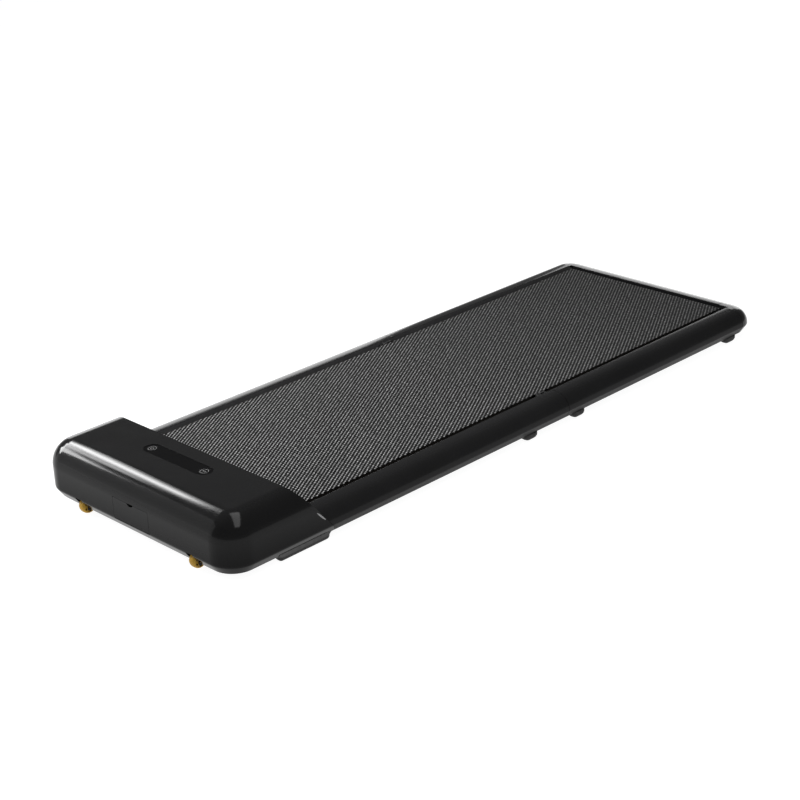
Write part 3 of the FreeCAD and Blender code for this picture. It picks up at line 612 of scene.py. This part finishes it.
def build_key(name, sx, body, node):
    cx, cy = sx * 71, -616
    prof = [(0.02, 112), (9, 112), (9, 115.25), (8.86, 115.55), (8.55, 115.68), (8.1, 115.66), (7.75, 115.55), (7.6, 115.45), (7.1, 115.45), (6.95, 115.52), (5.5, 115.44), (3, 115.38), (0.02, 115.36)]
    bm = lathe_bm(prof, "z", (cx, cy, 0), 56)
    strip_ring(bm, cx, cy, 7.08, 7.62, 115.2, 115.58, 1)
    if sx < 0:
        plate(bm, arc_band(cx, cy - 0.2, 2.6, 3.2, 125, 415), 115.1, 115.52, 1)
        plate(bm, [(cx - 0.32, cy + 0.4), (cx + 0.32, cy + 0.4), (cx + 0.32, cy + 3.8), (cx - 0.32, cy + 3.8)], 115.1, 115.53, 1)
    else:
        plate(bm, [(cx - 3.1, cy - 2.1), (cx - 0.1, cy), (cx - 3.1, cy + 2.1)], 115.1, 115.52, 1)
        for x in (1.3, 2.7):
            plate(bm, [(cx + x - 0.3, cy - 2.1), (cx + x + 0.3, cy - 2.1), (cx + x + 0.3, cy + 2.1), (cx + x - 0.3, cy + 2.1)], 115.1, 115.52, 1)
    ob = shown(name, bm)
    edges(ob, 0.05, 1, 50)
    return piece(ob, body, "key_plastic", node, mats=[M["key_plastic"], M["icon"]])


build_key("key_cap_right", 1, "key_right", "button_right")
build_key("key_cap_left", -1, "key_left", "button_left")


# flap in the front wall with its thumb notch and end pins
def build_hatch():
    notch = [(9 * math.cos(rad(a)), 75 + 9 * math.sin(rad(a))) for a in range(-153, -26, 7)]
    notch = [p for p in notch if p[1] < 70.6]
    pts = rounded([(-48, 31.4), (48, 31.4), (48, 71), (-48, 71)], [1.2, 1.2, 1.5, 1.5], 4)
    half = math.sqrt(81 - 16)
    dip = [(half + 0.8, 71), (half - 0.1, 70.6)] + list(reversed(notch)) + [(-half + 0.1, 70.6), (-half - 0.8, 71)]
    outline = pts[:15] + dip + pts[15:]
    bm = prism_bm(outline, "y", -725, -722.5)
    ob = shown("hatch_lid", bm)
    edges(ob, 0.45, 2, 30)
    piece(ob, "hatch", "hood_plastic", "hatch_flap")
    bm = bmesh.new()
    for sx in (1, -1):
        prof = [(0.15, 44.0), (1.0, 44.0), (1.0, 49.2), (0.7, 49.7), (0.15, 49.7)]
        part = lathe_bm([(r, sx * h) for r, h in prof], "x", (0, -722.9, 32.8), 20)
        me = bpy.data.meshes.new("tmp")
        part.to_mesh(me)
        part.free()
        bm.from_mesh(me)
        bpy.data.meshes.remove(me)
    pins = shown("hatch_pins", bm)
    piece(pins, "hatch", "hood_plastic")


build_hatch()

# ------------------------------------------------------------------ side rails
def rail_profile():
    pts = [(214.5, 50), (214.5, 54), (214.5, 62.2)]
    pts += [(215.2 - 0.7 * math.cos(rad(a)), 62.2 + 0.7 * math.sin(rad(a))) for a in (15, 30, 45, 60, 75, 90)] + [(216.5, 62.9)]
    pts += [(216.5 + 16.88 * k / 8, 62.9 - 1.37 * (k / 8) ** 2) for k in range(1, 8)]
    pts += [(228 + 31 * math.sin(rad(a)), 31 + 31 * math.cos(rad(a))) for a in range(10, 91, 5)]
    pts += [(258.88, 30.38), (258.5, 29.53), (257.89, 28.44), (257.02, 27.12), (252.5, 20.55), (248, 14), (236, 14), (222, 14)]
    return pts


def build_rail(name, sx, start, end, body, node):
    bm = bmesh.new()
    prof = rail_profile()
    steps = (0, 4, 60, 150, 240, 330, 420, 510, 10 ** 6)
    rows = []
    for x, z in prof:
        a, b = start(z), end(z)
        row = []
        for s in steps:
            y = a + s if s < 10 ** 5 else b
            if s and s < 10 ** 5:
                y = min(y, b - 4 - (520 - s) * 1e-3)
            row.append(bm.verts.new((sx * x, y, z)))
        rows.append(row)
    skin(bm, rows)
    for f in bm.faces:
        c = f.calc_center_median()
        # inner lip faces take the lighter grey, painted light; the lowest faces take the underside finish
        f.material_index = 1 if abs(c.x) < 214.52 else 2 if c.z < 29.5 else 0
    ob = shown(name, bm, lambda c, q: (q.z > 0) if c.z > 61.6 else None)
    wall(ob, 2.5)
    edges(ob, 0.45, 2, 30)
    return piece(ob, body, "rail_anodised", node, mats=[M["rail_anodised"], M["rail_lip"], M["rail_under"]])


for sx, side in ((1, "right"), (-1, "left")):
    build_rail("front_rail_skin_" + side, sx, lambda z: rake(z) + 0.6, lambda z: 113.0, "base", "front_rail_" + side)
    build_rail("rear_rail_skin_" + side, sx, lambda z: 114.0, lambda z: 677.0, "rear_frame", "rear_rail_" + side)


# ------------------------------------------------------------------ tail strip and corner caps
TAIL = [(11, 14), (6.5, 20.55), (1.98, 27.12), (1.11, 28.44), (0.5, 29.53), (0.12, 30.38)]
TAIL += [(31 - 31 * math.cos(rad(a)), 31 + 31 * math.sin(rad(a))) for a in range(0, 91, 6)]


def build_tail():
    bm = bmesh.new()
    xs = (190, 186, 120, 40, -40, -120, -186, -190)
    rows = [[bm.verts.new((x, 725 - d, z)) for x in xs] for d, z in TAIL + [(36, 62), (40, 62), (40, 54.5)]]
    skin(bm, rows)
    ob = shown("tail_strip", bm, lambda c, q: (q.z > 0) if c.z > 61.9 else None)
    wall(ob, 2.5)
    edges(ob, 0.5, 2, 30)
    piece(ob, "rear_frame", "tail_plastic", "tail_cover")


build_tail()


def build_cap(name, sx, node):
    bm = bmesh.new()
    rows = []
    for d, z in TAIL:
        r = 48 - d
        pts = [(259 - d, 677.5)] + [(211 + r * math.cos(rad(a)), 677 + r * math.sin(rad(a))) for a in range(6, 91, 6)] + [(200, 725 - d), (190.4, 725 - d)]
        rows.append([bm.verts.new((sx * x, y, z)) for x, y in pts])
    skin(bm, rows)
    rest = [bm.verts.new((sx * x, y, 62)) for x, y in ((190.4, 689), (190.4, 685), (202, 685), (214.5, 685), (214.5, 677.5), (221, 677.5))]
    bmesh.ops.triangle_fill(bm, use_beauty=True, edges=loop_edges(bm, rows[-1] + rest))
    lip = [bm.verts.new((sx * x, 685, 52)) for x in (190.4, 202, 214.5)]
    skin(bm, [rest[1:4], lip])
    ob = shown(name, bm, lambda c, q: (q.z > 0) if c.z > 61.9 and abs(q.z) > 0.9 else None)
    wall(ob, 2.5)
    bake(ob)
    cutter = shown("cutter", lathe_bm([(0.01, 700), (5, 700), (5, 745), (0.01, 745)], "y", (sx * 225.5, 0, 40), 40))
    carve(ob, cutter)
    for p in ob.data.polygons:
        p.use_smooth = True
    edges(ob, 0.4, 2, 32)
    piece(ob, "rear_frame", "tail_plastic", node)


build_cap("corner_cap_right", 1, "rear_cap_right")
build_cap("corner_cap_left", -1, "rear_cap_left")


# ------------------------------------------------------------------ walking belt, five strips of one loop
HALF, THICK, R0 = 202.0, 1.8, 20.4
SECTION = [(-HALF, -0.5), (-HALF + 0.4, 0), (-101, 0), (0, 0), (101, 0), (HALF - 0.4, 0), (HALF, -0.5), (HALF, -1.4), (HALF - 0.3, -THICK), (0, -THICK), (-HALF + 0.3, -THICK), (-HALF, -1.4)]


def top_point(v):
    """Point and outward normal at running length v (mm): v is y on the top run, and goes on round the rollers."""
    if v < -590:
        a = (v + 590) / R0
        return (-590 + R0 * math.sin(a), 40 + R0 * math.cos(a)), (math.sin(a), math.cos(a))
    if v > 668:
        a = (v - 668) / R0
        return (668 + R0 * math.sin(a), 40 + R0 * math.cos(a)), (math.sin(a), math.cos(a))
    return (v, 40 + R0), (0, 1)


HALF_TURN = R0 * math.pi


def low_point(y):
    return (y, 40 - R0), (0, -1)


def build_strip(name, samples):
    """samples: (point (y, z), normal, running length) along the strip."""
    bm = bmesh.new()
    uv = bm.loops.layers.uv.new("UVMap")
    rings, where = [], {}
    for (y, z), (ny, nz), v in samples:
        ring = []
        for x, h in SECTION:
            w = bm.verts.new((x, y + ny * h, z + nz * h))
            where[w] = (x * MM, v * MM)
            ring.append(w)
        rings.append(ring)
    k = len(SECTION)
    faces = []
    for a, b in zip(rings, rings[1:]):
        for j in range(k):
            faces.append(bm.faces.new((a[j], a[(j + 1) % k], b[(j + 1) % k], b[j])))
    faces.append(bm.faces.new(rings[0]))
    faces.append(bm.faces.new(list(reversed(rings[-1]))))
    for f in faces:
        f.material_index = int(all(abs(l.vert.co.x) > HALF - 0.2 for l in f.loops))
        for l in f.loops:
            l[uv].uv = where[l.vert]
    ob = shown(name, bm)
    ob.data.set_sharp_from_angle(angle=rad(40))
    ob.data.materials.append(M["belt_surface"])
    ob.data.materials.append(M["belt_edge"])
    return ob


def spaced(a, b, step):
    k = max(1, int(round(abs(b - a) / step)))
    return [a + (b - a) * i / k for i in range(k + 1)]


def joined(*runs):
    out = []
    for r in runs:
        out += r if not out else r[1:]
    return out


CUT_A, CUT_B = 82.4, 101.6
quarter = R0 * math.pi / 2
ob = build_strip("belt_top_front", [(*top_point(v), v) for v in joined(spaced(-590 - quarter, -590, 1.6), spaced(-590, CUT_A, 40))])
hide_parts("belt_front")
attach(ob, "base")
ob = build_strip("belt_top_rear", [(*top_point(v), v) for v in joined(spaced(CUT_B, 668, 40), spaced(668, 668 + quarter, 1.6))])
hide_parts("belt_rear")
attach(ob, "rear_frame")
ob = build_strip("belt_top_span", [(*top_point(v), v) for v in spaced(CUT_A, CUT_B, 1.2)])
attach(ob, "link")
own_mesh(ob)


def low_front(y):
    return (*low_point(y), -590 - HALF_TURN - (y + 590))


def low_rear(y):
    return (*low_point(y), 668 + HALF_TURN + (668 - y))


ob = build_strip("belt_under_front", [(*top_point(v), v) for v in spaced(-590 - quarter, -590 - 2 * quarter, 1.6)] + [low_front(y) for y in joined(spaced(-590, 66, 40), spaced(66, 92, 1))[1:]])
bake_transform(ob)
ob = build_strip("belt_under_rear", [low_rear(y) for y in joined(spaced(92, 118, 1), spaced(118, 668, 40))] + [(*top_point(v), v) for v in spaced(668 + 2 * quarter, 668 + quarter, 1.6)][1:])
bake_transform(ob)


# ------------------------------------------------------------------ wheels
def build_wheel(name, sx, body, node):
    c = (sx * 153, -708, 14.5)
    prof = [(4.15, -7.4), (5.7, -7.4), (5.9, -7.2), (6.0, -7.1), (10.2, -7.3), (10.4, -7.6), (10.7, -8.0), (11.3, -8.0), (12.2, -7.6), (13.0, -6.8), (13.6, -5.7), (14.05, -4.4), (14.3, -3.0), (14.42, -1.7), (14.5, -0.5)]
    prof += [(r, -h) for r, h in reversed(prof)]
    bm = lathe_bm(prof, "x", c, 64)
    ob = shown(name, bm)
    cut = bmesh.new()
    for s in (1, -1):
        for i in range(6):
            a = rad(60 * i + 30)
            part = lathe_bm([(0.01, s * 4.0), (2.1, s * 4.0), (2.1, s * 9.5), (0.01, s * 9.5)], "x", (c[0], c[1] + 8.7 * math.cos(a), c[2] + 8.7 * math.sin(a)), 20)
            me = bpy.data.meshes.new("tmp")
            part.to_mesh(me)
            part.free()
            cut.from_mesh(me)
            bpy.data.meshes.remove(me)
    carve(ob, shown("cutter", cut))
    for p in ob.data.polygons:
        p.use_smooth = True
    edges(ob, 0.25, 2, 35)
    piece(ob, body, "wheel_ochre", node)


build_wheel("wheel_tread_right", 1, "wheel_right", "wheel_right")
build_wheel("wheel_tread_left", -1, "wheel_left", "wheel_left")


# ------------------------------------------------------------------ rubber feet
def build_feet(name, y0, y1, end, body, node, flare=None):
    """Two feet with rounded ends and lower edges, and grooves across the sole. flare widens the top up to the hood's underside."""
    bm, cut = bmesh.new(), bmesh.new()
    levels = [(0, 17 if flare else 14), (0, 12), (0, 10)] + [(1 - math.cos(rad(a)), 1 - math.sin(rad(a))) for a in (0, 15, 30, 45, 60, 75, 90)]
    count = int((y1 - y0 - 2 * end) // 6.4) + 1
    for sx in (1, -1):
        rows = []
        for i, (o, z) in enumerate(levels):
            ox, oy, h = (8.4 * o, end * o, 9 * z) if i > 2 else (0, 0, z)
            if flare and i < 3:
                ox, oy = -flare[0] * (z - 10) / 7, -flare[1] * (z - 10) / 7
            r = max(1.2, 7.0 - 0.7 * ox)
            plan = rounded([(229 + ox, y0 + oy), (249 - ox, y0 + oy), (249 - ox, y1 - oy), (229 + ox, y1 - oy)], r, 5)
            rows.append([bm.verts.new((sx * x, y, h)) for x, y in plan])
        for p, q in zip(rows, rows[1:]):
            for j in range(len(p)):
                k = (j + 1) % len(p)
                bm.faces.new((p[j], p[k], q[k], q[j]))
        bm.faces.new(rows[0])
        bm.faces.new(list(reversed(rows[-1])))
        for i in range(count):
            y = (y0 + y1) / 2 + (i - (count - 1) / 2) * 6.4
            part = prism_bm([(y - 0.9, -2), (y + 0.9, -2), (y + 0.6, 1.2), (y - 0.6, 1.2)], "x", sx * 226, sx * 252)
            me = bpy.data.meshes.new("tmp")
            part.to_mesh(me)
            part.free()
            cut.from_mesh(me)
            bpy.data.meshes.remove(me)
    ob = shown(name, bm)
    carve(ob, shown("cutter", cut))
    for p in ob.data.polygons:
        p.use_smooth = True
        # front feet: upper band painted lighter, sole painted darker
        if flare:
            p.material_index = 1 if p.center.z > 0.0092 else 2 if p.center.z < 0.0042 else 0
    edges(ob, 0.3, 2, 32)
    piece(ob, body, "foot_rubber", node, mats=[M["foot_rubber"], M["foot_upper"], M["foot_sole"]] if flare else None)


build_feet("foot_pads_front", -611, -497, 7, "base", "front_feet", (1.3, 7))
build_feet("foot_pads_mid_front", 2, 36, 14, "base", "mid_front_feet")
build_feet("foot_pads_mid_rear", 140, 174, 14, "rear_frame", "mid_rear_feet")
build_feet("foot_pads_rear", 632, 668, 15, "rear_frame", "rear_feet")


# thin rubber lips on the two belly plates, which close the fold's gap from below
def build_lip(name, y0, y1, body):
    bm = bmesh.new()
    rows = []
    for x in (-213, -142, -71, 0, 71, 142, 213):
        rows.append([bm.verts.new((x, y, z)) for y, z in ((y0, 14.4), (y1, 14.5), (y1, 15.0), (y0, 15.8))])
    for a, b in zip(rows, rows[1:]):
        for j in range(4):
            bm.faces.new((a[j], a[(j + 1) % 4], b[(j + 1) % 4], b[j]))
    bm.faces.new(rows[0])
    bm.faces.new(list(reversed(rows[-1])))
    ob = shown(name, bm)
    edges(ob, 0.15, 2, 30)
    piece(ob, body, "foot_rubber")


build_lip("fold_lip_front", 76, 91.7, "base")
build_lip("fold_lip_rear", 108, 92.3, "rear_frame")

# ------------------------------------------------------------------ carried-over parts
for name, ob in NODES.items():
    if ob.hide_render:
        continue
    ob.data.materials.clear()
    ob.data.materials.append(M[slot_of[name]])


# ------------------------------------------------------------------ floor, light, camera
def build_floor():
    bm = bmesh.new()
    k, half = 24, 30.0
    grid = [[bm.verts.new((-half + 2 * half * i / k, -half + 2 * half * j / k, 0)) for i in range(k + 1)] for j in range(k + 1)]
    skin(bm, grid)
    me = bpy.data.meshes.new("floor")
    bm.to_mesh(me)
    bm.free()
    ob = bpy.data.objects.new("floor", me)
    scene.collection.objects.link(ob)
    m, t, b = new_mat("pale_floor")
    v = coords(t)
    t.links.new(ramp(t, noise(t, v, 4.0, 3.0), (0.3, (0.21, 0.21, 0.21)), (0.7, (0.23, 0.23, 0.23))), b.inputs["Base Color"])
    b.inputs["Roughness"].default_value = 0.9
    b.inputs["Specular IOR Level"].default_value = 0.0
    b.inputs["Emission Color"].default_value = (1, 1, 1, 1)
    b.inputs["Emission Strength"].default_value = 0.955
    ob.data.materials.append(m)


build_floor()


def panel(name, at, look, size, radiance, along=None):
    """Flat light that faces a point; along is the way its first side runs (level if not given)."""
    li = bpy.data.lights.new(name, "AREA")
    li.shape = "RECTANGLE"
    li.size, li.size_y = size
    li.energy = radiance * math.pi * size[0] * size[1]
    ob = bpy.data.objects.new(name, li)
    scene.collection.objects.link(ob)
    ob.location = at
    z = (Vector(at) - Vector(look)).normalized()
    x = Vector(along) if along else Vector((0, 0, 1)).cross(z)
    x = (x - z * x.dot(z)).normalized()
    y = z.cross(x)
    ob.rotation_euler = Matrix((x, y, z)).transposed().to_euler()
    return ob


for width, radiance in ((0.24, 11), (0.48, 11), (0.76, 9), (1.06, 4)):
    panel("softbox_left_%d" % (width * 100), (-1.70 - 0.01 * width, -0.38, 1.575), (0.0, -0.38, 1.575), (width, 0.61), radiance)
panel("softbox_left_strip", (-1.70, -0.89, 1.47), (0.0, -0.89, 1.47), (0.26, 0.34), 13)
panel("softbox_turn", (-1.70, -1.17, 0.975), (0.0, -1.17, 0.975), (0.60, 0.65), 28)
panel("softbox_turn_top", (-1.70, -0.72, 1.18), (0.0, -0.72, 1.18), (0.30, 0.30), 28)
panel("overhead", (0.65, -0.51, 1.6), (0.65, -0.51, 0.0), (2.12, 0.625), 5, along=(-0.89, 0.456, 0))
panel("card_far_left", (-3.75, 1.9, 0.75), (-0.45, 0.73, 0.75), (2.12, 1.5), 2.4)
panel("card_rear", (-2.30, 4.57, 0.95), (0.0, 0.7, 0.95), (2.1, 1.9), 2.5)
panel("card_front_left", (-2.0, -2.4, 1.1), (0.0, -0.7, 1.1), (2.4, 2.3), 0.9)

world = bpy.data.worlds.new("studio")
scene.world = world
world.use_nodes = True
wt = world.node_tree
wt.nodes.clear()
wo = wt.nodes.new("ShaderNodeOutputWorld")
wb = wt.nodes.new("ShaderNodeBackground")
wt.links.new(wb.outputs[0], wo.inputs["Surface"])
wc = wt.nodes.new("ShaderNodeTexCoord")
ws = wt.nodes.new("ShaderNodeSeparateXYZ")
wt.links.new(wc.outputs["Generated"], ws.inputs[0])
wt.links.new(ramp(wt, ws.outputs["Z"], (0.0, grey(0.36)), (0.10, grey(0.28)), (0.25, grey(0.17)), (0.6, grey(0.15)), (1.0, grey(0.25))), wb.inputs["Color"])
wb.inputs["Strength"].default_value = 1.0

cam = bpy.data.cameras.new("view")
cam.sensor_width = 36.0
cam.lens = 36.0 * 1798.28 / 800.0
cam.clip_start, cam.clip_end = 0.05, 100
cam_ob = bpy.data.objects.new("view", cam)
scene.collection.objects.link(cam_ob)
az, el, roll = rad(45.896), rad(23.463), rad(-2.524)
back = Vector((math.sin(az) * math.cos(el), -math.cos(az) * math.cos(el), math.sin(el)))
right = (-back).cross(Vector((0, 0, 1))).normalized()
up = right.cross(-back)
c, s = math.cos(roll), math.sin(roll)
r_, u_ = right * c + up * s, up * c - right * s
cam_ob.matrix_world = Matrix(((r_.x, u_.x, back.x, 2.26976), (r_.y, u_.y, back.y, -2.28075), (r_.z, u_.z, back.z, 1.41848), (0, 0, 0, 1)))
scene.camera = cam_ob
scene.view_settings.view_transform = "Standard"
